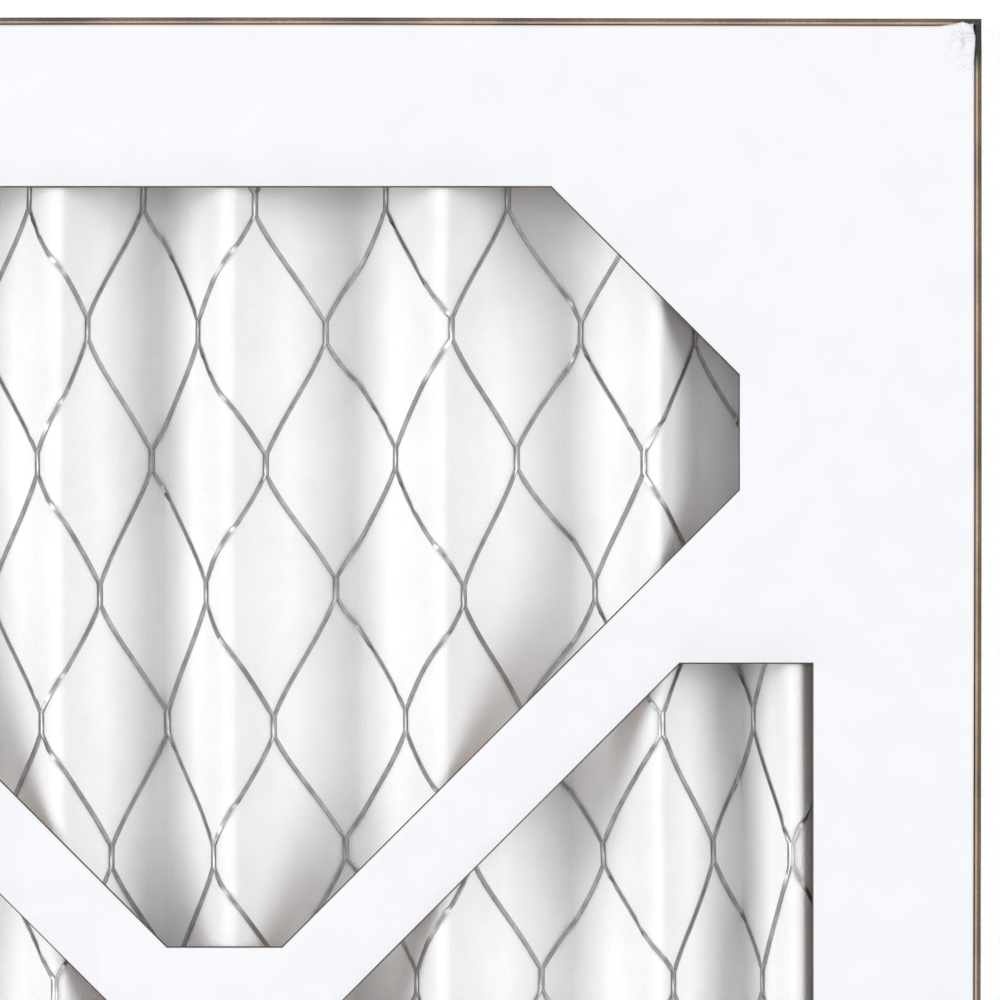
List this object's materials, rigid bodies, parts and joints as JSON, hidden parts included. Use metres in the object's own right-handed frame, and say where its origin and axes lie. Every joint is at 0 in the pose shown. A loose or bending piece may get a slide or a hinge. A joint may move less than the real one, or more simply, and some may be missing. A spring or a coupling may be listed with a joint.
{
  "type": "pleated panel air filter",
  "caption": "Flat disposable air filter: a pleated white cloth on a wire mesh, held in a shallow white board frame with a diagonal lattice on both faces.",
  "frame": {"origin": "middle of the rear face, which is also the lower centre of the bounding box", "axes": "+X along the long side and across the pleats, +Y along the pleats, +Z out of the front face, where the mesh shows"},
  "size_m": [0.6224, 0.3938, 0.0191],
  "materials": {
    "board": "white coated board with a satin face and brown raw edges",
    "filter_cloth": "lofty white non-woven",
    "galvanised_wire": "galvanised expanded metal, dull grey",
    "hot_melt": "milky hot-melt glue"
  },
  "bodies": {
    "root": {"rear_tray": "board", "front_tray": "board", "pleated_cloth": "filter_cloth", "wire_backing": "galvanised_wire", "glue_line_top": "hot_melt", "glue_line_bottom": "hot_melt", "glue_line_right": "hot_melt", "glue_line_left": "hot_melt"}
  },
  "joints": []
}
